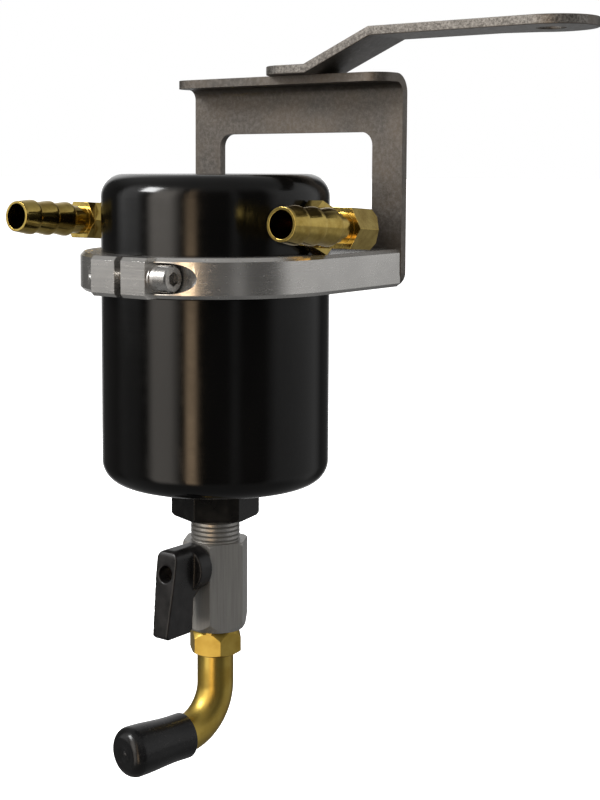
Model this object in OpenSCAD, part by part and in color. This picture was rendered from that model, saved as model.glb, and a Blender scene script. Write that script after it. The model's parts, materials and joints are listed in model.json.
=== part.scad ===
// Crankcase-breather oil catch can on a bent steel bracket, with a drain valve below.
// Working axes: the can's centre line is Z, its top face is z = 0 and its front is -Y.
// place() then moves everything so that the strap's bolt hole is the origin.

/* [Can] */
// Outside diameter of the head and the bowl
can_d = 76.2; // [70:0.1:82]
// Height of the closed can
can_h = 103; // [98:0.5:125]
// Outside corner radius at the top and the bottom
can_corner = 7.5; // [4:0.5:9]
// Wall of the bowl
bowl_wall = 3.5; // [2.5:0.1:4]
// Height of the head, down to the seam
head_h = 38.6; // [38.4:0.1:40]
// Travel of the bowl for one turn of its thread
thread_pitch = 2; // [1:0.25:2.5]

/* [Clamp] */
// Thickness of the clamp ring
clamp_t = 12.7; // [10:0.1:13]
// Outside radius of the clamp ring
clamp_r = 45; // [43:0.1:47]
// Depth of the clamp's top face below the can's top face
clamp_drop = 25.4; // [25:0.1:26]
// Width of the slot in the front pad
clamp_slot = 2.7; // [2:0.1:4]
// Width of the front pad
pad_w = 22.6; // [20:0.1:24]

/* [Bracket] */
// Thickness of the bracket and strap steel
steel_t = 3; // [2.5:0.1:3.5]
// Width of the bracket plate
plate_w = 90.6; // [88:0.1:96]
// Distance from the can's centre line to the plate's front face
plate_y = 43.7; // [43:0.1:46]
// Height of the flange's top face above the can's top face
flange_z = 33.6; // [25:0.1:40]
// Width of the window in the plate
window_w = 66.6; // [50:0.1:70]
// Width of the hanging strap
strap_w = 22; // [18:0.5:24]
// Height of the strap's upper face above the flange
strap_rise = 14; // [12:0.5:20]
// Diameter of the strap's bolt hole
strap_hole_d = 9; // [6.6:0.1:11]

/* [Ports] */
// Depth of the port centre lines below the can's top face
port_drop = 16.8; // [14:0.1:16.8]
// Distance from the can's centre line to each barb's centre line
port_reach = 55.7; // [53:0.1:57]
// Distance of the barb tips in front of the can's centre line
barb_tip = 38.2; // [36:0.1:42]
// Across-flats size of the elbow's hexagonal bar
elbow_af = 12.7; // [11:0.1:13]
// Diameter of the barb crests
barb_d = 11.9; // [11:0.1:12.5]
// Bore of the hose barbs
barb_bore = 8.6; // [7:0.1:8.8]

/* [Drain] */
// Across-flats size of the drain bushing
bushing_af = 25.8; // [25:0.1:30]
// Across-flats size of the valve body
valve_af = 20.4; // [19:0.1:22]
// Length of the valve body
valve_l = 30.3; // [30:0.1:34]
// Depth of the valve stem below the top of the valve body
stem_drop = 7.2; // [7:0.1:9]
// Diameter of the drain tube
drain_d = 12.4; // [12:0.1:13]
// Bend radius of the drain tube
drain_bend = 15.5; // [14:0.5:16]
// Length of the rubber cap
cap_l = 25.7; // [24:0.1:28]

/* [Hidden] */
$fn = 96;
fit = 0.05;                                  // running clearance of a turning shaft
gap = 0.3;                                   // clearance between parts that only pass each other
can_r = can_d / 2;

// Inside of the head and its threaded spigot
head_r = 32;
head_top = 5;
spigot_r = 34.9;
spigot_h = 8.4;
spigot_z = -head_h - spigot_h;
rim_z = -head_h - 0.2;
seal_h = 2.2;
seal_r = can_r - 1;

// Breather internals
plate_t = 1.5;
stack_r = 31.5;
stack_z = -30;
media_t = 8;
stack_bottom = stack_z - 2 * plate_t - media_t;
spacer_r = 2.75;
spacer_pcr = 24;
inlet_x = 20;
inlet_tube_r = 6;
inlet_tube_end = -62;
boss_r = 8;
port_r = 7;

// Clamp and its screw
clamp_z = -clamp_drop - clamp_t;
clamp_mid = clamp_z + clamp_t / 2;
clamp_chamfer = 1.2;
pad_y = 48;
clamp_screw_y = 43;
clamp_screw_play = 0.6;
spring_washer_t = 1.4;
flat_washer_t = 1;
m5_r = 2.5;
m5_head_r = 4.25;
m5_head_h = 5;
clamp_screw_x = pad_w / 2 + flat_washer_t + spring_washer_t + m5_head_h;

// Bracket
plate_bottom = clamp_z - 0.3;
bend_r = 3.5;
flange_front = 30;
flange_corner = 7;
plate_corner = 5;
window_top = 14.2;
window_bottom = -19;
window_corner = 4.5;
bolt_x = 36;
bolt_z = clamp_mid;
strap_mid_y = 32.75;
strap_left = 10;
strap_bend_x = 20.5;
strap_top_x = 46;
eye_x = 103;
eye_y = 36;
eye_r = 14.5;
arm_top = flange_z + strap_rise;

// Ports
collar_af = 15.2;
collar_x = 39;
collar_t = 5.6;
collar_turn = 12;
barb_start = 7.6;
barb_root_r = 4.9;
barb_count = 3;
barb_step = 8.3;
barb_nose = 6.9;
barb_nose_r = 5.15;
barb_land = 1;
mitre_tip = 7;
elbow_tilt = 3.8;

// Drain, from the bowl downwards
floor_z = -can_h;
bushing_z = floor_z - 1;
bushing_h = 11.1;
bushing_turn = 41;
bushing_shank_r = 10;
valve_thread_r = 8.3;
valve_z = -123.3;
valve_bottom = valve_z - valve_l;
stem_z = valve_z - stem_drop;
ball_r = 6.3;
flow_r = 4;
cavity_r = 7.2;
seat_t = 2.8;
ring_l = 5.4;
stem_r = 3;
packing_r = 4.5;
face_y = valve_af / 2;
hub_r = 7.6;
hub_gap = 0.4;
grip_y = 25.1;
grip_lean = 3.7;
grip_back = 15.7;
grip_drop = 21.2;
recess_r = 2.65;
recess_depth = 7;
drain_hex_af = 16;
drain_hex_h = 9.2;
outlet_z = -188.8;
bend_z = outlet_z + drain_bend;
outlet_end = 34;
outlet_turn = -10;
cap_y = 14;

// Moves the can's axes to the row's origin, the centre of the strap hole's upper edge.
module place() {
    translate([-eye_x, -eye_y, -arm_top]) children();
}

// Round bar or hole along Z between two heights.
module bar(r, z0, z1) {
    translate([0, 0, min(z0, z1)]) cylinder(r = r, h = abs(z1 - z0));
}

// Ring along Z between two heights.
module ring(r_out, r_in, z0, z1) {
    difference() {
        bar(r_out, z0, z1);
        bar(r_in, min(z0, z1) - 1, max(z0, z1) + 1);
    }
}

// Hexagonal bar along Z, its corners on the X axis.
module hex_bar(af, z0, z1) {
    translate([0, 0, min(z0, z1)]) cylinder(r = af / sqrt(3), h = abs(z1 - z0), $fn = 6);
}

// Points a shape made along +Z towards -Y.
module forward() {
    rotate([90, 0, 0]) children();
}

// Outline of a closed can turned about the Y axis: flat end up, rounded outer corner.
module can_outline(r, h, corner) {
    square([r, h - corner]);
    square([r - corner, h]);
    translate([r - corner, h - corner]) circle(corner);
}

// Rectangle with round corners, from its lower left corner.
module round_rect(w, h, r) {
    translate([r, 0]) square([w - 2 * r, h]);
    translate([0, r]) square([w, h - 2 * r]);
    for (x = [r, w - r], y = [r, h - r]) translate([x, y]) circle(r);
}

// Quarter or part ring in the plane, between two angles under 90 degrees apart.
module arc_ring(r_in, r_out, a0, a1) {
    far = 2 * r_out;
    intersection() {
        difference() {
            circle(r_out);
            circle(r_in);
        }
        polygon([[0, 0], far * [cos(a0), sin(a0)], far * [cos(a1), sin(a1)]]);
    }
}

// V grooves that stand for a thread, cut round a bar along Z.
module thread_grooves(r, depth, pitch, z_top, n) {
    for (i = [0:n - 1])
        translate([0, 0, z_top - i * pitch])
            rotate_extrude()
                polygon([[r - depth, 0], [r + 1, pitch / 2], [r + 1, -pitch / 2]]);
}

// The breather stack's holes: the inlet tube, the three screws and rings of small vents.
module stack_holes(vents) {
    translate([inlet_x, 0]) circle(inlet_tube_r + 0.1);
    for (a = [90, 210, 330]) rotate(a) translate([spacer_pcr, 0]) circle(1.7);
    if (vents) for (k = [1:2], i = [0:6 * k + 1])
        rotate(i * 360 / (6 * k + 2) + 15) translate([-5.5 * k, 0]) circle(1.75);
}

// --- Bracket -------------------------------------------------------------

module bracket_plate() {
    color("dimgray") place() difference() {
        intersection() {
            // side profile: plate, bend and flange
            translate([-plate_w / 2, 0, 0]) rotate([90, 0, 90])
                linear_extrude(plate_w) bracket_profile();
            union() {
                // outline from the front
                translate([-plate_w / 2, plate_y + 50, plate_bottom]) forward()
                    linear_extrude(51) round_rect(plate_w, 200, plate_corner);
                translate([-plate_w, 0, flange_z - steel_t - bend_r])
                    cube([2 * plate_w, plate_y + 0.01, 2 * bend_r + steel_t]);
            }
            // outline from above
            translate([-plate_w / 2, flange_front, plate_bottom - 1])
                linear_extrude(200) round_rect(plate_w, 60, flange_corner);
        }
        translate([-window_w / 2, plate_y + 10, window_bottom]) forward()
            linear_extrude(20) round_rect(window_w, window_top - window_bottom, window_corner);
        for (x = [-bolt_x, bolt_x])
            translate([x, plate_y + 10, bolt_z]) forward() cylinder(r = 2.75, h = 20);
    }
}

// Side profile of the plate and its flange: the first coordinate is Y and the second is Z.
module bracket_profile() {
    bend_out = bend_r + steel_t;
    translate([plate_y, plate_bottom])
        square([steel_t, flange_z - bend_out - plate_bottom]);
    translate([flange_front, flange_z - steel_t])
        square([plate_y + steel_t - bend_out - flange_front, steel_t]);
    translate([plate_y - bend_r, flange_z - bend_out]) arc_ring(bend_r, bend_out, 0, 90);
}

module bracket_strap() {
    color("gray") place() difference() {
        intersection() {
            translate([0, 200, 0]) forward() linear_extrude(400) strap_profile();
            translate([0, 0, flange_z - 1]) linear_extrude(arm_top - flange_z + 2) strap_plan();
        }
        translate([eye_x, eye_y, flange_z]) cylinder(d = strap_hole_d, h = arm_top);
    }
}

// Side profile of the strap: foot on the flange, rise and arm, mitred at the two bends.
module strap_profile() {
    x0 = -60;
    x1 = 200;
    z0 = flange_z;
    z1 = arm_top - steel_t;
    slope = atan((z1 - z0) / (strap_top_x - strap_bend_x));
    s = steel_t * tan(slope / 2);
    polygon([
        [x0, z0], [strap_bend_x, z0], [strap_top_x, z1], [x1, z1],
        [x1, arm_top], [strap_top_x - s, arm_top], [strap_bend_x - s, z0 + steel_t],
        [x0, z0 + steel_t]
    ]);
}

// Outline of the strap from above: a round foot, a straight strip and a larger round eye.
module strap_plan() {
    w = strap_w / 2;
    straight = eye_x - 12;
    translate([strap_left, strap_mid_y]) circle(w);
    translate([strap_left, strap_mid_y - w]) square([straight - strap_left, strap_w]);
    translate([eye_x, eye_y]) circle(eye_r);
    polygon([
        [straight - 8, strap_mid_y - w], [eye_x, eye_y - eye_r],
        [eye_x, eye_y + eye_r], [straight - 8, strap_mid_y + w]
    ]);
}

// One bracket screw: button head behind the plate, shank forward into the clamp.
module bracket_screw() {
    difference() {
        union() {
            cylinder(r = m5_r, h = 17);
            translate([0, 0, -2.75]) cylinder(r1 = 3.6, r2 = 4.75, h = 1.2);
            translate([0, 0, -1.55]) cylinder(r = 4.75, h = 1.55);
        }
        translate([0, 0, -3]) cylinder(r = 3 / sqrt(3), h = 2, $fn = 6);
    }
}

module bracket_screws() {
    color("silver") place() for (x = [-bolt_x, bolt_x])
        translate([x, plate_y + steel_t + 1, bolt_z]) forward() bracket_screw();
}

module bracket_washers() {
    color("gainsboro") place() for (x = [-bolt_x, bolt_x])
        translate([x, plate_y + steel_t + 1, bolt_z]) forward() ring(5, 2.65, 0, 1);
}

// --- Clamp ---------------------------------------------------------------

module clamp_ring() {
    c = clamp_chamfer;
    t = clamp_t;
    color("lightgray") place() difference() {
        union() {
            translate([0, 0, clamp_z]) rotate_extrude() polygon([
                [can_r - 3, 0], [clamp_r - c, 0], [clamp_r, c],
                [clamp_r, t - c], [clamp_r - c, t], [can_r - 3, t]
            ]);
            // straight sides back to the flat that meets the plate
            translate([0, plate_y, clamp_z]) forward() linear_extrude(plate_y) polygon([
                [-clamp_r + c, 0], [clamp_r - c, 0], [clamp_r, c],
                [clamp_r, t - c], [clamp_r - c, t], [-clamp_r + c, t],
                [-clamp_r, t - c], [-clamp_r, c]
            ]);
            // front pad for the clamping screw
            translate([-pad_w / 2, 0, clamp_z]) rotate([90, 0, 90])
                linear_extrude(pad_w) polygon([
                    [-can_r, 0], [-pad_y + c, 0], [-pad_y, c],
                    [-pad_y, t - c], [-pad_y + c, t], [-can_r, t]
                ]);
        }
        bar(can_r + 0.02, clamp_z - 1, clamp_z + t + 1);
        translate([-60, plate_y, clamp_z - 1]) cube([120, 10, t + 2]);
        translate([-clamp_slot / 2, -60, clamp_z - 1]) cube([clamp_slot, 30, t + 2]);
        translate([0, -clamp_screw_y, clamp_mid]) rotate([0, 90, 0]) {
            translate([0, 0, -pad_w]) cylinder(r = m5_r, h = 2 * pad_w);
            translate([0, 0, pad_w / 2]) cylinder(r = m5_head_r + clamp_screw_play, h = 40);
        }
        for (x = [-bolt_x, bolt_x])
            translate([x, plate_y + 1, bolt_z]) forward() cylinder(r = m5_r, h = 17);
    }
}

module clamp_screw() {
    color("silver") place() translate([clamp_screw_x, -clamp_screw_y, clamp_mid])
        rotate([0, -90, 0]) difference() {
            union() {
                translate([0, 0, 0.5]) cylinder(r = m5_head_r, h = m5_head_h - 0.5);
                cylinder(r1 = m5_head_r - 0.5, r2 = m5_head_r, h = 0.5);
                cylinder(r = m5_r, h = 27);
            }
            translate([0, 0, -1]) cylinder(r = 4 / sqrt(3), h = 3.5, $fn = 6);
        }
}

// Flat washer on the pad's flank and a split spring washer under the screw's head.
module clamp_washers() {
    flat = pad_w / 2;
    spring = flat + flat_washer_t;
    color("silver") place() translate([0, -clamp_screw_y, clamp_mid]) rotate([0, 90, 0]) {
        ring(m5_head_r + 0.35, m5_r + 0.15, flat, spring);
        difference() {
            ring(m5_head_r, m5_r + 0.15, spring, spring + spring_washer_t);
            translate([0, -0.4, spring - 1]) cube([m5_head_r + 1, 0.8, spring_washer_t + 2]);
        }
    }
}

// --- Head and breather internals -----------------------------------------

module upper_housing() {
    color([0.06, 0.06, 0.06]) place() difference() {
        union() {
            difference() {
                union() {
                    translate([0, 0, -head_h]) rotate_extrude()
                        can_outline(can_r, head_h, can_corner);
                    bar(spigot_r, spigot_z, -head_h + 1);
                }
                translate([0, 0, spigot_z - 1]) rotate_extrude()
                    can_outline(head_r, -head_top - spigot_z + 1, 4);
                thread_grooves(spigot_r, 0.9, thread_pitch, -head_h - 2.5, 3);
            }
            // block that turns the inlet downwards
            translate([inlet_x, 0, -port_drop]) rotate([0, 90, 0])
                cylinder(r = boss_r, h = head_r + 1 - inlet_x);
            bar_at_inlet(boss_r, -port_drop - 8, -head_top + 0.5);
        }
        for (side = [-1, 1]) translate([0, 0, -port_drop]) rotate([0, 90 * side, 0])
            translate([0, 0, side > 0 ? inlet_x : head_r - 3]) cylinder(r = port_r, h = 40);
        bar_at_inlet(inlet_tube_r + 0.02, -port_drop - 9, -port_drop);
        for (a = [90, 210, 330]) rotate(a)
            translate([spacer_pcr, 0, -head_top - 1]) cylinder(r = 1.5, h = 4.4);
    }
}

// Bar along Z on the inlet tube's centre line.
module bar_at_inlet(r, z0, z1) {
    translate([inlet_x, 0, 0]) bar(r, z0, z1);
}

module baffle_plate() {
    color("silver") place() translate([0, 0, stack_z - plate_t]) linear_extrude(plate_t)
        difference() {
            circle(stack_r);
            stack_holes(true);
        }
}

module filter_media() {
    color("darkgray") place() translate([0, 0, stack_z - plate_t - media_t])
        linear_extrude(media_t) difference() {
            circle(stack_r - 0.5);
            stack_holes(false);
        }
}

module media_retainer() {
    color("silver") place() translate([0, 0, stack_bottom]) linear_extrude(plate_t)
        difference() {
            circle(stack_r);
            stack_holes(true);
        }
}

module baffle_spacers() {
    color("gainsboro") place() for (a = [90, 210, 330]) rotate(a)
        translate([spacer_pcr, 0, 0]) ring(spacer_r, 1.6, stack_z, -head_top);
}

module baffle_screws() {
    color("silver") place() for (a = [90, 210, 330]) rotate(a)
        translate([spacer_pcr, 0, 0]) difference() {
            union() {
                bar(1.5, stack_bottom, -head_top + 3);
                bar(2.75, stack_bottom - 2, stack_bottom);
            }
            hex_bar(2, stack_bottom - 3, stack_bottom - 0.8);
        }
}

module inlet_tube() {
    color("gainsboro") place() translate([inlet_x, 0, 0])
        ring(inlet_tube_r, inlet_tube_r - 1, inlet_tube_end, -port_drop - boss_r + 3);
}

// --- Hose elbows ---------------------------------------------------------

// One side of the elbow's mitre, cut off short at the outer corner.
module mitre_side(side) {
    translate([port_reach, 0, 0]) rotate(45)
        translate([-30, side > 0 ? 0 : -40, -20]) cube([30 + mitre_tip, 40, 40]);
}

// Barbed hose tail along Z: each barb is a cone up to a short land, then a step down.
module barb() {
    first = barb_tip - barb_nose;
    crest = barb_d / 2;
    rotate_extrude() polygon(concat(
        [[0, barb_start - 1], [barb_root_r, barb_start - 1]],
        [for (i = [barb_count - 1:-1:0]) each [
            [barb_root_r, first - i * barb_step],
            [crest, first - i * barb_step],
            [crest, first - i * barb_step + barb_land]
        ]],
        [[barb_nose_r, barb_tip], [0, barb_tip]]
    ));
}

// Elbow on the +X side: port on the X axis, barb towards -Y.
module elbow() {
    hex_r = elbow_af / sqrt(3);
    difference() {
        union() {
            rotate([0, 90, 0]) bar(port_r - 0.02, can_r - 5, collar_x + 1);
            rotate([collar_turn, 0, 0]) rotate([0, 90, 0])
                hex_bar(collar_af, collar_x, collar_x + collar_t);
            intersection() {
                rotate([90, 0, 90]) hex_bar(elbow_af, collar_x + 1, port_reach + 2 * hex_r);
                mitre_side(1);
            }
            intersection() {
                translate([port_reach, 0, 0]) forward()
                    hex_bar(elbow_af, -2 * hex_r, barb_start);
                mitre_side(-1);
            }
            translate([port_reach, 0, 0]) forward() barb();
        }
        rotate([0, 90, 0]) bar(barb_bore / 2, can_r - 6, port_reach);
        translate([port_reach, 0, 0]) forward() bar(barb_bore / 2, 0, barb_tip + 1);
        translate([port_reach, 0, 0]) sphere(r = barb_bore / 2);
    }
}

module inlet_elbow() {
    color("goldenrod") place() translate([0, 0, -port_drop])
        rotate([-elbow_tilt, 0, 0]) elbow();
}

module outlet_elbow() {
    color("goldenrod") place() translate([0, 0, -port_drop])
        rotate([-elbow_tilt, 0, 0]) mirror([1, 0, 0]) elbow();
}

// --- Bowl ----------------------------------------------------------------

module body_seal() {
    color([0.1, 0.1, 0.1]) place()
        ring(seal_r - gap, spigot_r + gap, rim_z - seal_h + 0.1, -head_h - 0.1);
}

module lower_bowl() {
    inner = can_r - bowl_wall;
    depth = can_h + rim_z;
    color([0.06, 0.06, 0.06]) place() difference() {
        union() {
            translate([0, 0, rim_z]) mirror([0, 0, 1]) difference() {
                rotate_extrude() can_outline(can_r, depth, can_corner);
                translate([0, 0, -1]) rotate_extrude()
                    can_outline(inner, depth - bowl_wall + 1, can_corner - bowl_wall + 1);
            }
            // boss for the drain bushing
            bar(bushing_shank_r + 4, floor_z + 1, floor_z + 8);
        }
        // pocket for the seal, and the bore that takes the spigot
        bar(seal_r, rim_z - seal_h, rim_z + 1);
        bar(spigot_r + gap, spigot_z - 1.5, rim_z + 1);
        bar(bushing_shank_r + 0.02, floor_z - 1, floor_z + 9);
    }
}

// --- Drain ---------------------------------------------------------------

module drain_bushing() {
    bottom = bushing_z - bushing_h;
    color([0.12, 0.12, 0.12]) place() difference() {
        union() {
            bar(bushing_shank_r, bushing_z - 1, floor_z + 8);
            intersection() {
                rotate(bushing_turn) hex_bar(bushing_af, bottom, bushing_z);
                // corners turned off a little at the bottom
                translate([0, 0, bottom])
                    cylinder(r1 = bushing_af / 2 + 1.2, r2 = bushing_af / 2 + 21.2, h = 20);
            }
        }
        bar(valve_thread_r + 0.02, bottom - 1, floor_z - 3);
        bar(flow_r + 1, floor_z - 4, floor_z + 9);
    }
}

module bushing_seal() {
    color("peru") place() ring(bushing_af / 2 - 0.5, bushing_shank_r + 0.1, bushing_z, floor_z);
}

module valve_body() {
    corner = valve_af / sqrt(3);
    color("silver") place() difference() {
        union() {
            difference() {
                bar(valve_thread_r, valve_z - 1, floor_z - 3.5);
                thread_grooves(valve_thread_r, 0.8, 1.55, valve_z + 8.3, 6);
            }
            intersection() {
                hex_bar(valve_af, valve_bottom, valve_z);
                // turned chamfers at both ends
                translate([0, 0, valve_bottom]) rotate_extrude() polygon([
                    [0, 0], [corner - 2, 0], [corner + 0.1, 3.5],
                    [corner + 0.1, valve_l - 1], [corner - 0.7, valve_l], [0, valve_l]
                ]);
            }
        }
        bar(flow_r, valve_z - 4, floor_z);
        bar(cavity_r, valve_bottom - 1, valve_z - 1);
        translate([0, 0, stem_z]) forward() {
            bar(stem_r + gap, 0, face_y + 1);
            bar(packing_r, face_y - 1.6, face_y + 1);
        }
    }
}

// Two soft rings that hold the ball between them.
module valve_seats() {
    color("white") place() for (side = [-1, 1]) difference() {
        ring(cavity_r, flow_r, stem_z + side * 3.4, stem_z + side * (3.4 + seat_t));
        translate([0, 0, stem_z]) sphere(r = ball_r + gap);
    }
}

module valve_end_ring() {
    top = stem_z - 3.4 - seat_t;
    color("silver") place() ring(cavity_r, flow_r, top - ring_l, top);
}

module stem_seal() {
    color("white") place() translate([0, 0, stem_z]) forward()
        ring(packing_r, stem_r + fit, face_y - 1.6, face_y - 0.1);
}

module valve_ball() {
    color("silver") place() translate([0, 0, stem_z]) difference() {
        sphere(r = ball_r);
        bar(flow_r, -10, 10);
        translate([-10, -ball_r - 1, -1.2]) cube([20, 2.5, 2.4]);
    }
}

module valve_stem() {
    color("silver") place() translate([0, 0, stem_z]) forward() difference() {
        union() {
            bar(stem_r, ball_r + 0.1, grip_y - recess_depth);
            translate([-2.5, -1.15, ball_r - 1.4]) cube([5, 2.3, 2]);
        }
        bar(1.5, grip_y - 12, grip_y);
    }
}

// Handle in its own axes: the stem is Z, outwards is +Z and the grip hangs to -Y.
module handle_shape() {
    top = face_y + hub_gap;
    wing_w = 8.5;
    tip_w = 6.2;
    union() {
        bar(hub_r, top, top + 6);
        intersection() {
            // side view: boss over the stem, grip leaning outwards
            translate([-10, 0, 0]) rotate([90, 0, 90]) linear_extrude(20) polygon([
                [hub_r, top + 1], [hub_r, grip_y - 1.6], [hub_r - 0.5, grip_y - 0.5],
                [hub_r - 1.6, grip_y], [1 - grip_drop, grip_y + grip_lean],
                [-grip_drop, grip_y + grip_lean - 1], [-grip_drop, grip_back + 1],
                [1 - grip_drop, grip_back], [-hub_r - 2, grip_back], [1 - hub_r, top + 1]
            ]);
            // front view: round over the stem, narrower to the tip
            translate([0, 0, top]) linear_extrude(30) union() {
                translate([-wing_w / 2, -2]) round_rect(wing_w, hub_r + 2, 2.8);
                polygon([
                    [-wing_w / 2, 0], [wing_w / 2, 0],
                    [tip_w / 2, -grip_drop], [-tip_w / 2, -grip_drop]
                ]);
            }
        }
    }
}

module valve_handle() {
    color([0.1, 0.1, 0.1]) place() translate([0, 0, stem_z]) forward() difference() {
        handle_shape();
        bar(stem_r, 0, grip_y - recess_depth);
        bar(recess_r, grip_y - recess_depth, grip_y + 5);
    }
}

module handle_screw() {
    head_z = grip_y - recess_depth;
    color("silver") place() translate([0, 0, stem_z]) forward() difference() {
        union() {
            bar(1.5, grip_y - 12, head_z);
            bar(recess_r - 0.2, head_z, head_z + 1.8);
        }
        for (a = [0, 90]) rotate(a)
            translate([-1.6, -0.4, head_z + 0.8]) cube([3.2, 0.8, 2]);
    }
}

module drain_elbow() {
    r = drain_d / 2;
    hex_z = valve_bottom - drain_hex_h;
    color("gold") place() rotate(outlet_turn) difference() {
        union() {
            bar(cavity_r - 0.02, valve_bottom - 1, valve_bottom + 10);
            intersection() {
                rotate(30) hex_bar(drain_hex_af, hex_z, valve_bottom);
                // turned chamfers, the upper one long
                translate([0, 0, hex_z]) rotate_extrude() polygon([
                    [0, 0], [drain_hex_af / 2 - 0.8, 0], [drain_hex_af / 2 + 1.4, 1.3],
                    [drain_hex_af / 2 + 1.4, drain_hex_h - 3.6],
                    [drain_hex_af / 2 - 0.6, drain_hex_h], [0, drain_hex_h]
                ]);
            }
            bar(r, bend_z, hex_z + 1);
            drain_bend_solid(r);
            translate([0, 0, outlet_z]) forward() bar(r, drain_bend, outlet_end);
        }
        bar(r - 1.5, bend_z - 0.01, valve_bottom + 11);
        drain_bend_solid(r - 1.5);
        translate([0, 0, outlet_z]) forward() bar(r - 1.5, drain_bend - 0.01, outlet_end + 1);
    }
}

// Quarter of a round tube's solid, from pointing down to pointing at -Y.
module drain_bend_solid(r) {
    translate([0, -drain_bend, bend_z]) rotate([90, 0, 90]) rotate([0, 0, -90])
        rotate_extrude(angle = 90) translate([drain_bend, 0]) circle(r);
}

module drain_cap() {
    back = drain_d / 2 + 1.4;
    front = drain_d / 2 + 2.1;
    corner = 3.8;
    inside = outlet_end - cap_y + 1;
    mouth_play = 0.15;
    color([0.08, 0.08, 0.08]) place() rotate(outlet_turn) translate([0, 0, outlet_z]) forward()
        translate([0, 0, cap_y]) difference() {
            rotate_extrude() {
                polygon([
                    [0, 0], [back - 0.6, 0], [back, 0.6], [front, cap_l - corner],
                    [front - corner, cap_l - corner], [front - corner, cap_l], [0, cap_l]
                ]);
                translate([front - corner, cap_l - corner]) circle(corner);
            }
            bar(drain_d / 2 + fit, -1, inside);
            // the mouth is a little wider where it sits over the end of the tube's bend
            bar(drain_d / 2 + fit + mouth_play, -1, drain_bend - cap_y + 0.2);
        }
}

bracket_plate();
bracket_strap();
bracket_screws();
bracket_washers();
clamp_ring();
clamp_screw();
clamp_washers();
upper_housing();
baffle_plate();
filter_media();
media_retainer();
baffle_spacers();
baffle_screws();
inlet_tube();
inlet_elbow();
outlet_elbow();
body_seal();
lower_bowl();
drain_bushing();
bushing_seal();
valve_body();
valve_seats();
valve_end_ring();
stem_seal();
valve_ball();
valve_stem();
valve_handle();
handle_screw();
drain_elbow();
drain_cap();
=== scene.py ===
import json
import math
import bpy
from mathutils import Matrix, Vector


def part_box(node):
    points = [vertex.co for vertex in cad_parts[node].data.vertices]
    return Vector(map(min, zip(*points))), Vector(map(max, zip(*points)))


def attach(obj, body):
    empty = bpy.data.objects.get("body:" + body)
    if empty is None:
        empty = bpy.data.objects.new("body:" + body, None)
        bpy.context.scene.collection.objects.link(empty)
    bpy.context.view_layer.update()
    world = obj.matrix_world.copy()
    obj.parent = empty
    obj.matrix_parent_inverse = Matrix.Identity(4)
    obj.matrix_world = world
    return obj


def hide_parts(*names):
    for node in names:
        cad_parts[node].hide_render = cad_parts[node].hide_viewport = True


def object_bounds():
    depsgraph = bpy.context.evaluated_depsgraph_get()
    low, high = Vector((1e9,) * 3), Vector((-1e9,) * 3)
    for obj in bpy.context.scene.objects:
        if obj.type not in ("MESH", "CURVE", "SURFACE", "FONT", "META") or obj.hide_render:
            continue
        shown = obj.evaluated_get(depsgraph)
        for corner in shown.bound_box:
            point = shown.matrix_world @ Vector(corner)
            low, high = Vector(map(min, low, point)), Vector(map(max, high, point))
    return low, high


bl_info = {
    "name": "Oil Catch Can",
    "version": (1, 0, 0),
    "blender": (4, 5, 0),
    "location": "3D View > Sidebar > Catch Can",
    "description": "Finishes a bracket-mounted oil catch can and sets its studio",
    "category": "Add Mesh",
}

import bpy
from bpy.props import FloatProperty, FloatVectorProperty, IntProperty, PointerProperty
from mathutils import Vector

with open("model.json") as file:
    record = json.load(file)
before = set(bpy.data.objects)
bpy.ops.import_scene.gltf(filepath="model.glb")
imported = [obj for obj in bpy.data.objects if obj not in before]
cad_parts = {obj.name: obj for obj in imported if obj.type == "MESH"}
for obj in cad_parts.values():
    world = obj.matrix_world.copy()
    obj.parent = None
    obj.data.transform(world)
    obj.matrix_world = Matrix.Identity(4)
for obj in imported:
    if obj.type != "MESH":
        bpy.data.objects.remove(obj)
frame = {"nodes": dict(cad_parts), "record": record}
CAD_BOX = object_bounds()

MM = 0.001
FULL_TURN = 2 * math.pi
TURNED_SIDES = 96
MERGE_DISTANCE = 0.001 * MM
# Angles in degrees between faces: nearly flat, an edge of a machined piece, and an edge of
# a moulded one.
FLAT = 0.2
CREASE = 32
MOULDED_CREASE = 60


# --- Places taken from the frame -------------------------------------------

def middle(node):
    """Centre of a node's box."""
    low, high = (Vector(corner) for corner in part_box(node))
    return (low + high) / 2


def span(node):
    """Size of a node's box."""
    low, high = (Vector(corner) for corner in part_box(node))
    return high - low


CAN_AXIS = middle("lower_bowl")
CAN_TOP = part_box("upper_housing")[1][2]


# --- Sizes and colours a user would change -----------------------------------

class CatchCanShape(bpy.types.PropertyGroup):
    """Edge and detail sizes of the finished pieces."""

    machined_edge: FloatProperty(
        name="Machined edge", description="Rounding of machined metal edges",
        default=0.2 * MM, min=0.05 * MM, max=0.5 * MM, unit="LENGTH")
    sheet_edge: FloatProperty(
        name="Sheet edge", description="Rounding of the bracket's sheared edges",
        default=0.3 * MM, min=0.05 * MM, max=0.8 * MM, unit="LENGTH")
    edge_steps: IntProperty(
        name="Edge steps", description="Faces across each rounded edge",
        default=2, min=1, max=6)
    mould_grain: FloatProperty(
        name="Mould grain", description="Mesh size of the moulded lever",
        default=0.26 * MM, min=0.2 * MM, max=0.6 * MM, unit="LENGTH")
    mould_passes: IntProperty(
        name="Mould passes", description="How often the lever's edges are softened",
        default=14, min=1, max=40)


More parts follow.
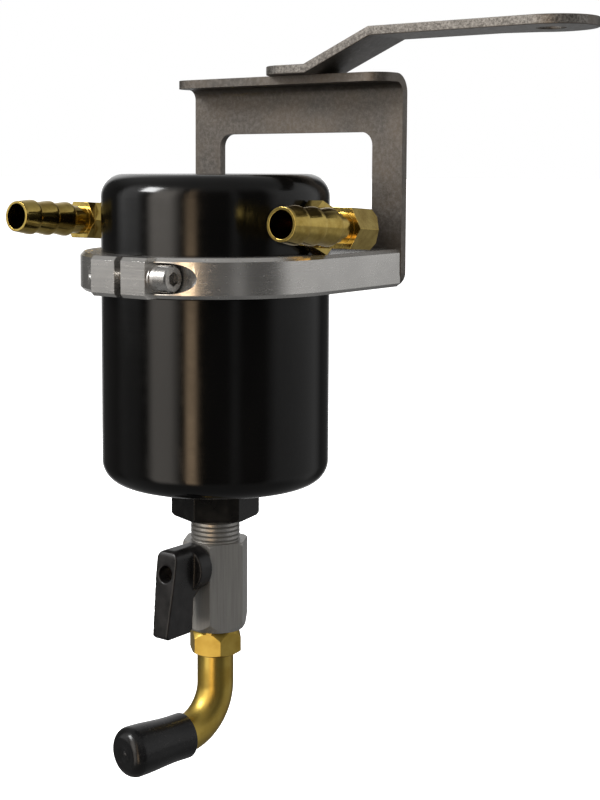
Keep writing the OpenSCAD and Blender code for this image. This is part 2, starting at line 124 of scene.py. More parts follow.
class CatchCanFinish(bpy.types.PropertyGroup):
    """Colours of the finishes."""

    anodised: FloatVectorProperty(
        name="Anodised", description="Colour of the can's black anodising",
        default=(0.0012, 0.0011, 0.001), size=3, min=0, max=1, subtype="COLOR")
    aluminium: FloatVectorProperty(
        name="Aluminium", description="Colour of the machined clamp",
        default=(0.6, 0.585, 0.56), size=3, min=0, max=1, subtype="COLOR")
    steel: FloatVectorProperty(
        name="Bracket steel", description="Colour of the bracket's bare steel",
        default=(0.058, 0.053, 0.048), size=3, min=0, max=1, subtype="COLOR")
    brass: FloatVectorProperty(
        name="Brass", description="Colour of the machined brass fittings",
        default=(0.52, 0.385, 0.11), size=3, min=0, max=1, subtype="COLOR")
    nickel: FloatVectorProperty(
        name="Nickel", description="Colour of the valve body's plating",
        default=(0.37, 0.36, 0.34), size=3, min=0, max=1, subtype="COLOR")


class CatchCanStage(bpy.types.PropertyGroup):
    """Camera and studio."""

    azimuth: FloatProperty(
        name="Azimuth", description="Camera's angle round the can, from the front to the right",
        default=math.radians(39.24), subtype="ANGLE")
    distance: FloatProperty(
        name="Distance", description="Level distance from the can's centre line to the camera",
        default=0.4927, min=0.2, max=2, unit="LENGTH")
    rise: FloatProperty(
        name="Rise", description="Camera's height above the can's top face",
        default=0.0027, min=-0.5, max=1, unit="LENGTH")
    tilt: FloatProperty(
        name="Tilt", description="How far the camera looks down",
        default=math.radians(5), subtype="ANGLE")
    lens: FloatProperty(
        name="Lens", description="Focal length on a 36 mm frame, in millimetres",
        default=66.4, min=20, max=200)
    shift: FloatVectorProperty(
        name="Shift", description="Sideways and vertical shift of the lens, in frame sizes",
        default=(0.1058, -0.1314), size=2)
    floor_drop: FloatProperty(
        name="Floor drop", description="Height of the hanging part above the floor",
        default=0.12, min=0.01, max=1, unit="LENGTH")


# --- Modelling helpers -------------------------------------------------------

def only(piece):
    """Selects one object and nothing else."""
    bpy.ops.object.select_all(action="DESELECT")
    piece.select_set(True)
    bpy.context.view_layer.objects.active = piece


def edit(piece):
    """Opens a piece in edit mode with all of it selected."""
    only(piece)
    bpy.ops.object.mode_set(mode="EDIT")
    bpy.ops.mesh.select_all(action="SELECT")


def leave():
    """Back to object mode."""
    bpy.ops.object.mode_set(mode="OBJECT")


def added(name):
    """Names the object that an add operator has just made."""
    piece = bpy.context.object
    piece.name = name
    piece.data.name = name
    return piece


def settle(piece):
    """Puts a piece's place, turn and size into its mesh."""
    only(piece)
    bpy.ops.object.transform_apply(location=True, rotation=True, scale=True)


def modify(piece, kind, **values):
    """Adds a modifier with these values and applies it."""
    modifier = piece.modifiers.new(kind.title(), kind)
    for key, value in values.items():
        setattr(modifier, key, value)
    only(piece)
    bpy.ops.object.modifier_apply(modifier=modifier.name)


def tidy_normals(piece):
    """Merges doubles and turns every face outwards."""
    edit(piece)
    bpy.ops.mesh.remove_doubles(threshold=MERGE_DISTANCE)
    bpy.ops.mesh.normals_make_consistent(inside=False)
    leave()


def smooth(piece, angle=CREASE):
    """Smooth shading, sharp over an angle in degrees, with flat faces kept flat."""
    only(piece)
    bpy.ops.object.shade_smooth_by_angle(angle=math.radians(angle))
    modify(piece, "WEIGHTED_NORMAL", keep_sharp=True, weight=80)


def round_edges(piece, width, steps):
    """Rounds every edge sharper than a crease."""
    modify(piece, "BEVEL", width=width, segments=steps, limit_method="ANGLE",
           angle_limit=math.radians(CREASE), miter_outer="MITER_ARC")


def outline_object(name, points):
    """A chain of edges through points, drawn by extruding one vertex."""
    bpy.ops.mesh.primitive_plane_add(size=MM)
    piece = added(name)
    edit(piece)
    bpy.ops.mesh.merge(type="CENTER")
    bpy.ops.transform.translate(value=points[0])
    for start, end in zip(points, points[1:]):
        step = Vector(end) - Vector(start)
        bpy.ops.mesh.extrude_vertices_move(TRANSFORM_OT_translate={"value": step})
    leave()
    return piece


def lathe(name, profile):
    """A turned piece about Z at the origin, from (radius, height) points."""
    piece = outline_object(name, [(r, 0, z) for r, z in profile])
    edit(piece)
    bpy.ops.mesh.spin(steps=TURNED_SIDES, angle=FULL_TURN, center=(0, 0, 0), axis=(0, 0, 1))
    leave()
    tidy_normals(piece)
    return piece


def arc(centre, radius, start, end, count):
    """Points along an arc, angles in degrees."""
    turn = (end - start) / count
    angles = [math.radians(start + turn * i) for i in range(count + 1)]
    return [(centre[0] + radius * math.cos(a), centre[1] + radius * math.sin(a))
            for a in angles]


def joined_copy(node, name):
    """A copy of a CAD node with its flat faces joined."""
    source = frame["nodes"][node]
    piece = source.copy()
    piece.data = source.data.copy()
    bpy.context.scene.collection.objects.link(piece)
    piece.parent = None
    piece.matrix_world = source.matrix_world.copy()
    piece.name = name
    piece.data.name = name
    piece.data.materials.clear()
    settle(piece)
    edit(piece)
    bpy.ops.mesh.customdata_custom_splitnormals_clear()
    bpy.ops.mesh.remove_doubles(threshold=MERGE_DISTANCE)
    bpy.ops.mesh.dissolve_limited(angle_limit=math.radians(FLAT))
    leave()
    return piece


def refined_copy(node, name, width, steps):
    """A copy of a CAD node with its edges rounded."""
    piece = joined_copy(node, name)
    round_edges(piece, width, steps)
    smooth(piece)
    return piece


def moulded_copy(node, name, grain, passes):
    """A copy of a CAD node with all its edges softened, as a mould leaves them."""
    piece = joined_copy(node, name)
    modify(piece, "REMESH", mode="VOXEL", voxel_size=grain)
    modify(piece, "SMOOTH", factor=0.5, iterations=passes)
    tidy_normals(piece)
    smooth(piece, MOULDED_CREASE)
    return piece


def place(piece, body, material, node):
    """Gives a finished piece its finish, body and slot, and hides the CAD node it stands for.
    """
    piece.data.materials.clear()
    piece.data.materials.append(material)
    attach(piece, body)
    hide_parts(node)


def coat_node(node, material):
    """Gives a shown CAD node a better finish."""
    slots = frame["nodes"][node].material_slots
    for entry in slots:
        entry.material = material
    if not slots:
        frame["nodes"][node].data.materials.append(material)


# --- Finishes ----------------------------------------------------------------

EVEN = (1, 1, 1)


def add_node(tree, kind, inputs=(), **settings):
    """Adds a node to a tree, sets it and feeds or fills its inputs."""
    node = tree.nodes.new(kind)
    for key, value in settings.items():
        setattr(node, key, value)
    for key, value in dict(inputs).items():
        if isinstance(value, bpy.types.NodeSocket):
            tree.links.new(value, node.inputs[key])
        elif isinstance(value, tuple) and node.inputs[key].type == "RGBA":
            node.inputs[key].default_value = (*value, 1)
        else:
            node.inputs[key].default_value = value
    return node


def add_color_mix(tree, factor, first, second):
    """Mixes two colours in a tree; its colour sockets are numbers 6, 7 and, out, 2."""
    return add_node(tree, "ShaderNodeMix", data_type="RGBA",
                    inputs={0: factor, 6: first, 7: second}).outputs[2]


def toned(color, *factors):
    """A colour times one factor, or times one for each channel."""
    if len(factors) == 1:
        factors *= 3
    return tuple(channel * factor for channel, factor in zip(color, factors))


class Finish:
    """A material under construction: its shader and short calls that add nodes."""

    def __init__(self, name, color, metallic, roughness):
        self.material = bpy.data.materials.new(name)
        self.material.use_nodes = True
        self.tree = self.material.node_tree
        self.shader = self.tree.nodes["Principled BSDF"]
        self.shader.inputs["Base Color"].default_value = (*color, 1)
        self.shader.inputs["Metallic"].default_value = metallic
        self.shader.inputs["Roughness"].default_value = roughness
        self.place = self.tree.nodes.new("ShaderNodeTexCoord").outputs["Object"]
        self.normal = None

    def node(self, kind, inputs=(), **settings):
        """Adds a node to the material."""
        return add_node(self.tree, kind, inputs, **settings)

    def noise(self, scale, stretch, detail, rough):
        """Fractal noise; scale is in features a metre along each stretched axis."""
        stretched = self.node("ShaderNodeMapping", {"Vector": self.place, "Scale": stretch})
        return self.node("ShaderNodeTexNoise", {
            "Vector": stretched.outputs[0], "Scale": scale,
            "Detail": detail, "Roughness": rough}).outputs["Fac"]

    def spread(self, value, low, high, to_low=0.0, to_high=1.0):
        """Maps a value's range to another, clamped."""
        node = self.node("ShaderNodeMapRange", {
            "Value": value, "From Min": low, "From Max": high,
            "To Min": to_low, "To Max": to_high})
        return node.outputs["Result"]

    def mix(self, factor, first, second):
        """Mixes two colours."""
        return add_color_mix(self.tree, factor, first, second)

    def math(self, operation, first, second):
        """One sum on two values."""
        node = self.node("ShaderNodeMath", {0: first, 1: second}, operation=operation)
        return node.outputs[0]

    def color(self, socket):
        """Feeds the base colour."""
        self.tree.links.new(socket, self.shader.inputs["Base Color"])

    def roughness(self, socket):
        """Feeds the roughness."""
        self.tree.links.new(socket, self.shader.inputs["Roughness"])

    def sheen(self, ior):
        """Sets how strongly a finish that isn't metal reflects."""
        self.shader.inputs["IOR"].default_value = ior

    def bump(self, height, strength, depth):
        """Adds relief of a depth in metres over any relief before it."""
        inputs = {"Height": height, "Strength": strength, "Distance": depth}
        if self.normal is not None:
            inputs["Normal"] = self.normal
        self.normal = self.node("ShaderNodeBump", inputs).outputs[0]
        self.tree.links.new(self.normal, self.shader.inputs["Normal"])


def black_anodised(color):
    """Glossy black anodising with the faint rings of turned aluminium under it."""
    finish = Finish("black_anodised", color, 0.0, 0.17)
    rings = finish.noise(1, (4, 4, 2600), 4, 0.6)
    cloud = finish.noise(45, (1, 1, 0.35), 3, 0.55)
    handled = finish.noise(160, (1, 1, 0.6), 4, 0.6)
    base = finish.mix(finish.spread(cloud, 0.35, 0.7), color,
                      toned(color, 1.9))
    finish.color(base)
    rough = finish.math("ADD", finish.spread(rings, 0.3, 0.7, 0.12, 0.17),
                        finish.spread(handled, 0.45, 0.75, 0.0, 0.06))
    finish.roughness(rough)
    finish.bump(rings, 0.2, 0.01 * MM)
    finish.sheen(1.37)
    return finish.material


def machined_aluminium(color):
    """Milled aluminium: fine level cutter lines, soft bloom and a few handling marks."""
    finish = Finish("machined_aluminium", color, 0.93, 0.25)
    lines = finish.noise(1, (14, 14, 3000), 3, 0.55)
    bloom = finish.noise(70, (1, 1, 1.5), 3, 0.5)
    marks = finish.noise(300, (1, 1, 3), 2, 0.5)
    finish.color(finish.mix(finish.spread(bloom, 0.3, 0.7), color,
                            toned(color, 0.86)))
    finish.roughness(finish.math(
        "ADD", finish.spread(lines, 0.3, 0.7, 0.2, 0.28),
        finish.spread(marks, 0.6, 0.8, 0.0, 0.08)))
    finish.bump(lines, 0.16, 0.01 * MM)
    return finish.material


def rolled_steel(color):
    """Hot-rolled sheet: mottled scale in two sizes with fine pits."""
    finish = Finish("rolled_steel", color, 0.55, 0.5)
    patches = finish.noise(55, EVEN, 4, 0.6)
    mottle = finish.noise(650, EVEN, 5, 0.75)
    grain = finish.noise(2400, EVEN, 3, 0.6)
    warm = toned(color, 1.45, 1.3, 1.12)
    pale = toned(color, 2.1)
    base = finish.mix(finish.spread(patches, 0.35, 0.68), color, warm)
    base = finish.mix(finish.spread(mottle, 0.44, 0.66, 0, 0.8), base, pale)
    dark = toned(color, 0.35)
    base = finish.mix(finish.spread(grain, 0.58, 0.72, 0, 0.5), base, dark)
    finish.color(base)
    finish.roughness(finish.spread(mottle, 0.3, 0.75, 0.36, 0.58))
    finish.bump(mottle, 0.3, 0.05 * MM)
    finish.bump(grain, 0.35, 0.02 * MM)
    return finish.material


def sheared_steel(color):
    """The bright, speckled edge that a shear or laser leaves on the sheet. On the plate it goes
    only on the edges facing the light, as painted light.
    """
    finish = Finish("sheared_steel", toned(color, 1.5), 0.7, 0.42)
    speckle = finish.noise(1500, EVEN, 4, 0.75)
    drag = finish.noise(1, (900, 900, 160), 3, 0.6)
    pale = (0.25, 0.235, 0.215)
    base = finish.mix(finish.spread(speckle, 0.4, 0.66), toned(color, 1.3), pale)
    base = finish.mix(finish.spread(drag, 0.4, 0.7, 0, 0.35), base,
                      toned(color, 0.8))
    finish.color(base)
    finish.roughness(finish.spread(speckle, 0.3, 0.7, 0.28, 0.55))
    finish.bump(speckle, 0.5, 0.06 * MM)
    return finish.material


def bar_brass(color):
    """Machined brass with faint tool marks and a first bloom of tarnish."""
    finish = Finish("bar_brass", color, 1.0, 0.2)
    tarnish = finish.noise(210, EVEN, 4, 0.6)
    lines = finish.noise(2200, (1, 0.12, 1), 3, 0.6)
    dull = toned(color, 0.62, 0.56, 0.42)
    finish.color(finish.mix(finish.spread(tarnish, 0.38, 0.72), color, dull))
    finish.roughness(finish.math(
        "ADD", finish.spread(tarnish, 0.35, 0.7, 0.1, 0.18),
        finish.spread(lines, 0.4, 0.7, 0.0, 0.05)))
    finish.bump(lines, 0.18, 0.015 * MM)
    return finish.material


def polished_brass(color):
    """Drawn and polished brass tube."""
    bright = toned(color, 1.02, 1.0, 0.8)
    finish = Finish("polished_brass", bright, 1.0, 0.14)
    tarnish = finish.noise(120, EVEN, 3, 0.55)
    draw = finish.noise(900, (1, 1, 0.1), 2, 0.5)
    dull = toned(bright, 0.7, 0.62, 0.45)
    finish.color(finish.mix(finish.spread(tarnish, 0.42, 0.75, 0, 0.8), bright, dull))
    finish.roughness(finish.spread(tarnish, 0.35, 0.7, 0.34, 0.46))
    finish.bump(draw, 0.06, 0.01 * MM)
    return finish.material


def satin_nickel(color):
    """Nickel plate over drawn bar: upright brushing and a sandy fine grain."""
    finish = Finish("satin_nickel", color, 0.8, 0.38)
    brushed = finish.noise(1, (1900, 1900, 60), 4, 0.6)
    grain = finish.noise(1700, EVEN, 3, 0.6)
    finish.color(finish.mix(finish.spread(brushed, 0.3, 0.7), color,
                            toned(color, 0.78)))
    finish.roughness(finish.spread(grain, 0.3, 0.7, 0.3, 0.46))
    finish.bump(brushed, 0.25, 0.015 * MM)
    finish.bump(grain, 0.25, 0.012 * MM)
    return finish.material


def stainless(name, rough):
    """Turned stainless steel of the small fasteners."""
    finish = Finish(name, (0.62, 0.6, 0.57), 1.0, rough)
    smear = finish.noise(900, EVEN, 3, 0.6)
    finish.color(finish.mix(finish.spread(smear, 0.35, 0.7), (0.66, 0.64, 0.61),
                            (0.42, 0.4, 0.38)))
    finish.roughness(finish.spread(smear, 0.35, 0.7, rough, rough + 0.14))
    finish.bump(finish.noise(3000, EVEN, 2, 0.5), 0.2, 0.01 * MM)
    return finish.material


def moulded_plastic():
    """Black nylon with a fine moulded grain and slightly polished wear."""
    finish = Finish("moulded_plastic", (0.006, 0.0055, 0.0055), 0.0, 0.32)
    finish.sheen(1.33)
    grain = finish.noise(2600, EVEN, 2, 0.5)
    wear = finish.noise(190, EVEN, 4, 0.6)
    finish.color(finish.mix(finish.spread(wear, 0.45, 0.75), (0.005, 0.0047, 0.0047),
                            (0.013, 0.012, 0.012)))
    finish.roughness(finish.spread(wear, 0.35, 0.7, 0.26, 0.38))
    finish.bump(grain, 0.25, 0.015 * MM)
    return finish.material


def black_rubber(name):
    """Smooth dipped rubber: glossy, a little uneven, dusty in places."""
    finish = Finish(name, (0.005, 0.005, 0.0052), 0.0, 0.22)
    finish.sheen(1.34)
    waver = finish.noise(140, EVEN, 3, 0.5)
    dust = finish.noise(900, EVEN, 5, 0.7)
    finish.color(finish.mix(finish.spread(dust, 0.55, 0.8, 0, 0.6), (0.005, 0.005, 0.0052),
                            (0.02, 0.019, 0.018)))
    finish.roughness(finish.math("ADD", finish.spread(waver, 0.3, 0.7, 0.16, 0.26),
                                 finish.spread(dust, 0.5, 0.8, 0, 0.14)))
    finish.bump(waver, 0.35, 0.25 * MM)
    finish.bump(dust, 0.2, 0.02 * MM)
    return finish.material


def satin_black():
    """Satin black anodising of the drain bushing."""
    finish = Finish("satin_black", (0.005, 0.0045, 0.004), 0.0, 0.32)
    finish.sheen(1.4)
    brushed = finish.noise(1, (30, 30, 2400), 3, 0.6)
    worn = finish.noise(260, EVEN, 4, 0.6)
    finish.color(finish.mix(finish.spread(worn, 0.5, 0.78), (0.004, 0.0037, 0.0033),
                            (0.012, 0.0115, 0.01)))
    finish.roughness(finish.spread(worn, 0.35, 0.7, 0.26, 0.38))
    finish.bump(brushed, 0.25, 0.012 * MM)
    return finish.material


def dull_alloy():
    """Plain turned aluminium of the inner tube and the sealing washer."""
    finish = Finish("dull_alloy", (0.7, 0.7, 0.71), 1.0, 0.36)
    rings = finish.noise(1, (40, 40, 2400), 3, 0.6)
    finish.color(finish.mix(finish.spread(rings, 0.35, 0.65), (0.72, 0.72, 0.73),
                            (0.56, 0.56, 0.57)))
    finish.roughness(finish.spread(rings, 0.3, 0.7, 0.3, 0.44))
    finish.bump(rings, 0.3, 0.02 * MM)
    return finish.material


def white_ptfe():
    """Waxy white seal plastic."""
    finish = Finish("white_ptfe", (0.8, 0.8, 0.78), 0.0, 0.45)
    haze = finish.noise(500, EVEN, 3, 0.6)
    finish.color(finish.mix(finish.spread(haze, 0.35, 0.7), (0.82, 0.82, 0.8),
                            (0.7, 0.7, 0.67)))
    finish.bump(haze, 0.2, 0.02 * MM)
    return finish.material


def wire_wool():
    """Knitted wire: two crossing waves of pale strands, with painted shade in the gaps between
    them.
    """
    finish = Finish("wire_wool", (0.3, 0.3, 0.29), 0.9, 0.4)
    strands = finish.noise(1300, (1, 1, 2.5), 5, 0.8)
    loops = finish.noise(700, (2, 1, 1), 4, 0.75)
    woven = finish.math("MULTIPLY", strands, loops)
    # The dark colour between the strands is painted shade in the depth of the knit.
    finish.color(finish.mix(finish.spread(woven, 0.18, 0.34), (0.05, 0.05, 0.05),
                            (0.6, 0.59, 0.57)))
    finish.bump(woven, 1.0, 0.4 * MM)
    return finish.material


def studio_floor():
    """White matt sweep that stays white into the distance."""
    finish = Finish("studio_floor", (0.8, 0.8, 0.8), 0.0, 0.9)
    soft = finish.noise(3, EVEN, 2, 0.5)
    finish.color(finish.mix(finish.spread(soft, 0.3, 0.7), (0.8, 0.8, 0.8),
                            (0.79, 0.79, 0.79)))
    finish.shader.inputs["Emission Color"].default_value = (1, 1, 1, 1)
    finish.shader.inputs["Emission Strength"].default_value = 1.0
    return finish.material


# --- The room, as it shows in the finishes -------------------------------------

# The soft panels of the studio, in degrees to the right of the camera's side: where each
# starts and ends, how wide its soft edge is, its brightness at eye level and below it as
# shares of the brightest panel, and its tint.
WHITE = (1, 1, 1)
WARM = (1.0, 0.72, 0.46)
DUSK = (1.0, 0.93, 0.85)
PANELS = (
    ("back_box", -180, -164, 9, 0.13, 0.1, WHITE),
    ("left_fill", -104, -84, 12, 0.18, 0.03, WHITE),
    ("left_box", -64, -45, 11, 0.62, 0.36, DUSK),
    ("warm_strip", -27, -21, 4, 0.42, 1.0, WARM),
    ("thin_streak", 18, 21, 5, 0.06, 0.045, WHITE),
    ("right_box", 64, 118, 13, 0.125, 0.07, WHITE),
    ("back_box_end", 166, 180, 9, 0.13, 0.1, WHITE),
)
# Strength of the brightest panel, and the shares of it that the gaps between the panels,
# the ceiling and the ground have.
PANEL_STRENGTH = 6
GAP_SHARE = 0.01
CEILING_SHARE = 0.06
GROUND_SHARE = 0.035
# Elevations in degrees over which the room changes, from the part's own height.
BELOW_EYE_LEVEL = (-1, -6)
INTO_CEILING = (20, 60)
INTO_GROUND = (-22, -42)
# Each lamp's angle to the right of the camera's side and its elevation in degrees, its
# distance and size in metres, its power in watts, and whether it shows in reflections.
LAMPS = (
    ("front_fill", -20, 24, 1.4, (1.2, 1.2), 9, False),
    ("top_fill", 30, 70, 1.5, (1.6, 1.6), 9, False),
    ("right_fill", 78, 12, 1.4, (1.0, 1.4), 16, False),
    ("back_fill", 195, 30, 1.5, (1.2, 1.2), 9, False),
    ("left_panel", -74, 36, 1.3, (0.34, 0.4), 13, True),
)
FLOOR_SIZE = 60
NEAR_CLIP = 10 * MM


def panel_stops(is_below):
    """Angle and colour round the part, at eye level or below it."""
    gap = toned(WHITE, GAP_SHARE)
    stops = []
    for _name, start, end, edge, level, below, tint in PANELS:
        lit = toned(tint, below if is_below else level)
        stops += [(start - edge, gap), (start, lit), (end, lit), (end + edge, gap)]
    return [(angle, color) for angle, color in stops if -180 <= angle <= 180]


# --- Operators: the pieces -----------------------------------------------------

def machined(context, node, name):
    """A copy of a CAD node with machined edges."""
    shape = context.scene.catchcan_shape
    return refined_copy(node, name, shape.machined_edge, shape.edge_steps)


class CATCHCAN_OT_can(bpy.types.Operator):
    """Rounds the edges of the head and the bowl and gives them black anodising"""

    bl_idname = "catchcan.can"
    bl_label = "Can"

    def execute(self, context):
        black = black_anodised(context.scene.catchcan_finish.anodised[:])
        head = machined(context, "upper_housing", "can_head")
        place(head, "head", black, "upper_housing")
        bowl = machined(context, "lower_bowl", "can_bowl")
        place(bowl, "bowl", black, "lower_bowl")
        return {"FINISHED"}


class CATCHCAN_OT_clamp(bpy.types.Operator):
    """Rounds the edges of the clamp and gives its cap screw a steel finish"""

    bl_idname = "catchcan.clamp"
    bl_label = "Clamp"

    def execute(self, context):
        bright = machined_aluminium(context.scene.catchcan_finish.aluminium[:])
        ring = machined(context, "clamp_ring", "clamp")
        place(ring, "head", bright, "clamp_ring")
        coat_node("clamp_screw", stainless("cap_screw_steel", 0.2))
        return {"FINISHED"}


class CATCHCAN_OT_bracket(bpy.types.Operator):
    """Finishes the bent bracket plate and the hanging strap"""

    bl_idname = "catchcan.bracket"
    bl_label = "Bracket"

    def execute(self, context):
        shape = context.scene.catchcan_shape
        color = context.scene.catchcan_finish.steel[:]
        rolled, sheared = rolled_steel(color), sheared_steel(color)
        # On the plate the pale cut-edge colour goes only on the left-facing edges, where the
        # light falls: partly the real cut edge, partly painted light and shade.
        for node, name, gets_pale_edge in (
            ("bracket_plate", "plate", self.cut_edges_facing_light),
            ("bracket_strap", "strap", self.faces_front_or_back),
        ):
            piece = refined_copy(node, name, shape.sheet_edge, shape.edge_steps)
            place(piece, "head", rolled, node)
            piece.data.materials.append(sheared)
            for face in piece.data.polygons:
                face.material_index = int(gets_pale_edge(face.normal))
        return {"FINISHED"}

    @staticmethod
    def cut_edges_facing_light(normal):
        """The plate's cut edges that face left, towards the lamps. Only these get the pale
        cut-edge colour, so it is partly the real cut edge and partly painted light, and the
        right-facing cut edges stay dark as painted shade.
        """
        return normal.x < -0.6

    @staticmethod
    def faces_front_or_back(normal):
        """The strap's cut edges: upright, and turned to the front or the back."""
        return abs(normal.z) < 0.3 and abs(normal.y) > 0.3


class CATCHCAN_OT_elbows(bpy.types.Operator):
    """Finishes the two hose elbows"""

    bl_idname = "catchcan.elbows"
    bl_label = "Hose elbows"

    def execute(self, context):
        brass = bar_brass(context.scene.catchcan_finish.brass[:])
        for node in ("inlet_elbow", "outlet_elbow"):
            piece = machined(context, node, node + "_finished")
            place(piece, "head", brass, node)
        return {"FINISHED"}


class CATCHCAN_OT_drain(bpy.types.Operator):
    """Finishes the bushing, the valve, the drain tube and its cap"""

    bl_idname = "catchcan.drain"
    bl_label = "Drain"

    def execute(self, context):
        shape = context.scene.catchcan_shape
        colors = context.scene.catchcan_finish
        bushing = machined(context, "drain_bushing", "bushing")
        place(bushing, "bowl", satin_black(), "drain_bushing")
        body = machined(context, "valve_body", "valve")
        place(body, "bowl", satin_nickel(colors.nickel[:]), "valve_body")
        tube = machined(context, "drain_elbow", "drain_tube")
        place(tube, "bowl", polished_brass(colors.brass[:]), "drain_elbow")
        self.rubber_cap()
        lever = moulded_copy("valve_handle", "lever", shape.mould_grain, shape.mould_passes)
        place(lever, "handle", moulded_plastic(), "valve_handle")
        return {"FINISHED"}

    def rubber_cap(self):
        """A dipped cap: soft lip, slight waist, swollen round end with a dished face."""
        pull = next(Vector(joint["axis"]) for joint in frame["record"]["behaviour"]["joints"]
                    if joint["name"] == "cap_pull")
        start = Vector((CAN_AXIS.x, CAN_AXIS.y, middle("drain_cap").z))
        reach = [(vertex.co - start).dot(pull)
                 for vertex in frame["nodes"]["drain_cap"].data.vertices]
        back, length = min(reach), max(reach) - min(reach)
        swell = span("drain_cap").z / 2
        lip = swell - 0.7 * MM
        bore = swell - 2.05 * MM
        bore_depth = 6 * MM
        lip_round = 0.55 * MM
        end_round = 4 * MM
        # Millimetres from the mouth and out from the lip's radius.
        flank = ((3, -0.05), (6, -0.1), (9, 0), (12.5, 0.25), (16, 0.55))
        # Millimetres out from the middle and below the end's highest ring.
        dish = ((2.6, 0.18), (1.5, 0.6), (0.9, 0.5), (0.5, 0.2), (0, 0.12))
        profile = [
            (0, bore_depth), (bore, bore_depth), (bore, 0.5 * MM),
            *arc((lip - lip_round, lip_round), lip_round, -120, 0, 6),
            *((lip + out * MM, along * MM) for along, out in flank),
            (swell - 0.04 * MM, 19 * MM),
            *arc((swell - end_round, length - end_round), end_round, 0, 82, 14),
            *((out * MM, length - below * MM) for out, below in dish),
        ]
        cap = lathe("cap", profile)
        modify(cap, "SUBSURF", levels=1, render_levels=1)
        smooth(cap, MOULDED_CREASE)
        cap.rotation_mode = "QUATERNION"
        cap.rotation_quaternion = pull.to_track_quat("Z", "Y")
        cap.location = start + pull * back
        settle(cap)
        place(cap, "cap", black_rubber("black_rubber"), "drain_cap")


class CATCHCAN_OT_internals(bpy.types.Operator):
    """Gives the fasteners, seals and inner parts their finishes"""

    bl_idname = "catchcan.internals"
    bl_label = "Internals"

    def execute(self, context):
        for material, nodes in (
            (stainless("small_steel", 0.28), (
                "baffle_plate", "media_retainer", "baffle_spacers", "baffle_screws",
                "bracket_screws", "bracket_washers", "clamp_washers", "valve_ball",
                "valve_stem", "handle_screw")),
            (dull_alloy(), ("inlet_tube", "bushing_seal")),
            (white_ptfe(), ("valve_seats", "stem_seal")),
            (wire_wool(), ("filter_media",)),
            (stainless("end_ring_steel", 0.34), ("valve_end_ring",)),
            (black_rubber("seal_rubber"), ("body_seal",)),
        ):
            for node in nodes:
                coat_node(node, material)
        return {"FINISHED"}


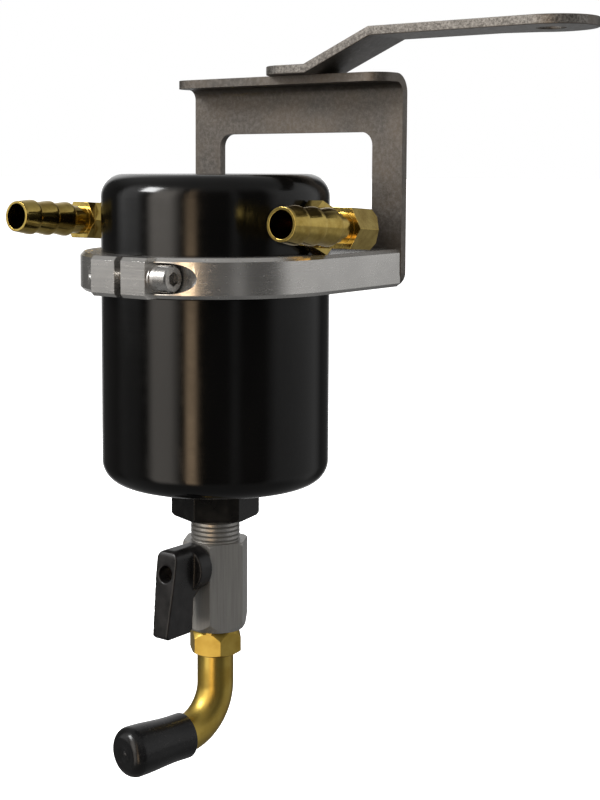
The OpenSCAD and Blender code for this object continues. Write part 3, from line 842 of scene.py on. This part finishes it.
class CATCHCAN_OT_stage(bpy.types.Operator):
    """Sets the floor, the studio light and the camera"""

    bl_idname = "catchcan.stage"
    bl_label = "Studio"

    def execute(self, context):
        stage = context.scene.catchcan_stage
        self.floor(stage)
        self.surroundings(context.scene, stage)
        self.lamps(stage)
        self.camera(context.scene, stage)
        return {"FINISHED"}

    def floor(self, stage):
        """A wide white floor well below the hanging part."""
        height = CAD_BOX[0][2] - stage.floor_drop
        bpy.ops.mesh.primitive_grid_add(
            x_subdivisions=8, y_subdivisions=8, size=FLOOR_SIZE,
            location=(CAN_AXIS.x, CAN_AXIS.y, height))
        floor = added("floor")
        settle(floor)
        floor.data.materials.append(studio_floor())
        floor.visible_glossy = False
        floor.visible_diffuse = False

    def surroundings(self, scene, stage):
        """A white room for the eye and a dark studio with soft panels for reflections."""
        scene.world = bpy.data.worlds.new("studio")
        scene.world.use_nodes = True
        tree = scene.world.node_tree
        tree.nodes.clear()
        ray = add_node(tree, "ShaderNodeTexCoord").outputs["Generated"]
        turned = add_node(tree, "ShaderNodeMapping", {
            "Vector": ray, "Rotation": (0, 0, math.pi / 2 - stage.azimuth)})
        round_about = add_node(tree, "ShaderNodeTexGradient", {0: turned.outputs[0]},
                               gradient_type="RADIAL").outputs["Fac"]
        height = add_node(tree, "ShaderNodeSeparateXYZ", {0: ray}).outputs["Z"]
        eye_level, below = (add_node(tree, "ShaderNodeValToRGB", {0: round_about})
                            for _ in range(2))
        self.fill_ramp(eye_level.color_ramp, panel_stops(False))
        self.fill_ramp(below.color_ramp, panel_stops(True))

        color = eye_level.outputs[0]
        for (start, end), other in (
            (BELOW_EYE_LEVEL, below.outputs[0]),
            (INTO_CEILING, toned(WHITE, CEILING_SHARE)),
            (INTO_GROUND, toned(WHITE, GROUND_SHARE)),
        ):
            rise = add_node(tree, "ShaderNodeMapRange", {
                "Value": height, "From Min": math.sin(math.radians(start)),
                "From Max": math.sin(math.radians(end))}, interpolation_type="SMOOTHSTEP")
            color = add_color_mix(tree, rise.outputs[0], color, other)
        reflected = add_node(tree, "ShaderNodeBackground", {
            "Color": color, "Strength": PANEL_STRENGTH})
        seen = add_node(tree, "ShaderNodeBackground", {"Color": WHITE, "Strength": 1.0})
        path = add_node(tree, "ShaderNodeLightPath")
        room = add_node(tree, "ShaderNodeMixShader", {
            0: path.outputs["Is Camera Ray"], 1: reflected.outputs[0], 2: seen.outputs[0]})
        add_node(tree, "ShaderNodeOutputWorld", {"Surface": room.outputs[0]})

    def fill_ramp(self, ramp, stops):
        """Brightness of the room round the part, by degrees right of the camera's side."""
        while len(ramp.elements) > 1:
            ramp.elements.remove(ramp.elements[-1])
        for index, (angle, color) in enumerate(stops):
            position = angle / 360 + 0.5
            stop = ramp.elements[0] if index == 0 else ramp.elements.new(position)
            stop.position = position
            stop.color = (*color, 1)

    def lamps(self, stage):
        """Soft lamps; the fill ones light the surfaces without showing in them."""
        target = Vector((CAN_AXIS.x, CAN_AXIS.y, (CAD_BOX[0][2] + CAD_BOX[1][2]) / 2))
        for name, side, lift, away, size, power, shows in LAMPS:
            angle = stage.azimuth + math.radians(side)
            rise = math.radians(lift)
            offset = Vector((math.sin(angle) * math.cos(rise),
                             -math.cos(angle) * math.cos(rise), math.sin(rise)))
            bpy.ops.object.light_add(type="AREA", location=target + offset * away)
            lamp = bpy.context.object
            lamp.name = name
            lamp.rotation_mode = "QUATERNION"
            lamp.rotation_quaternion = (-offset).to_track_quat("-Z", "Y")
            lamp.data.shape = "RECTANGLE"
            lamp.data.size, lamp.data.size_y = size
            lamp.data.energy = power
            lamp.visible_camera = False
            lamp.visible_glossy = shows

    def camera(self, scene, stage):
        """The camera stands level with the can's top and looks a little down."""
        angle = stage.azimuth
        ahead = Vector((-math.sin(angle) * math.cos(stage.tilt),
                        math.cos(angle) * math.cos(stage.tilt), -math.sin(stage.tilt)))
        bpy.ops.object.camera_add(location=(
            CAN_AXIS.x + math.sin(angle) * stage.distance,
            CAN_AXIS.y - math.cos(angle) * stage.distance,
            CAN_TOP + stage.rise))
        camera = bpy.context.object
        camera.name = "camera"
        camera.rotation_mode = "QUATERNION"
        camera.rotation_quaternion = ahead.to_track_quat("-Z", "Y")
        camera.data.lens = stage.lens
        camera.data.shift_x, camera.data.shift_y = stage.shift
        camera.data.clip_start = NEAR_CLIP
        scene.camera = camera
        scene.view_settings.view_transform = "Standard"


class CATCHCAN_PT_panel(bpy.types.Panel):
    """Lists the pieces, the sizes and the studio"""

    bl_label = "Catch Can"
    bl_idname = "CATCHCAN_PT_panel"
    bl_space_type = "VIEW_3D"
    bl_region_type = "UI"
    bl_category = "Catch Can"

    def draw(self, context):
        column = self.layout.column()
        for group in ("catchcan_shape", "catchcan_finish", "catchcan_stage"):
            settings = getattr(context.scene, group)
            for name in settings.bl_rna.properties.keys():
                if name not in ("rna_type", "name"):
                    column.prop(settings, name)
        for step in STEPS:
            column.operator(step.bl_idname)


STEPS = (
    CATCHCAN_OT_stage,
    CATCHCAN_OT_can,
    CATCHCAN_OT_clamp,
    CATCHCAN_OT_bracket,
    CATCHCAN_OT_elbows,
    CATCHCAN_OT_drain,
    CATCHCAN_OT_internals,
)
GROUPS = {
    "catchcan_shape": CatchCanShape,
    "catchcan_finish": CatchCanFinish,
    "catchcan_stage": CatchCanStage,
}


def register():
    for group in GROUPS.values():
        bpy.utils.register_class(group)
    for step in STEPS:
        bpy.utils.register_class(step)
    bpy.utils.register_class(CATCHCAN_PT_panel)
    for name, group in GROUPS.items():
        setattr(bpy.types.Scene, name, PointerProperty(type=group))


def unregister():
    for name in GROUPS:
        delattr(bpy.types.Scene, name)
    bpy.utils.unregister_class(CATCHCAN_PT_panel)
    for step in reversed(STEPS):
        bpy.utils.unregister_class(step)
    for group in reversed(GROUPS.values()):
        bpy.utils.unregister_class(group)


def main():
    """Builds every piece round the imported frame."""
    register()
    for step in STEPS:
        area, name = step.bl_idname.split(".")
        getattr(getattr(bpy.ops, area), name)()


if __name__ == "__main__":
    main()
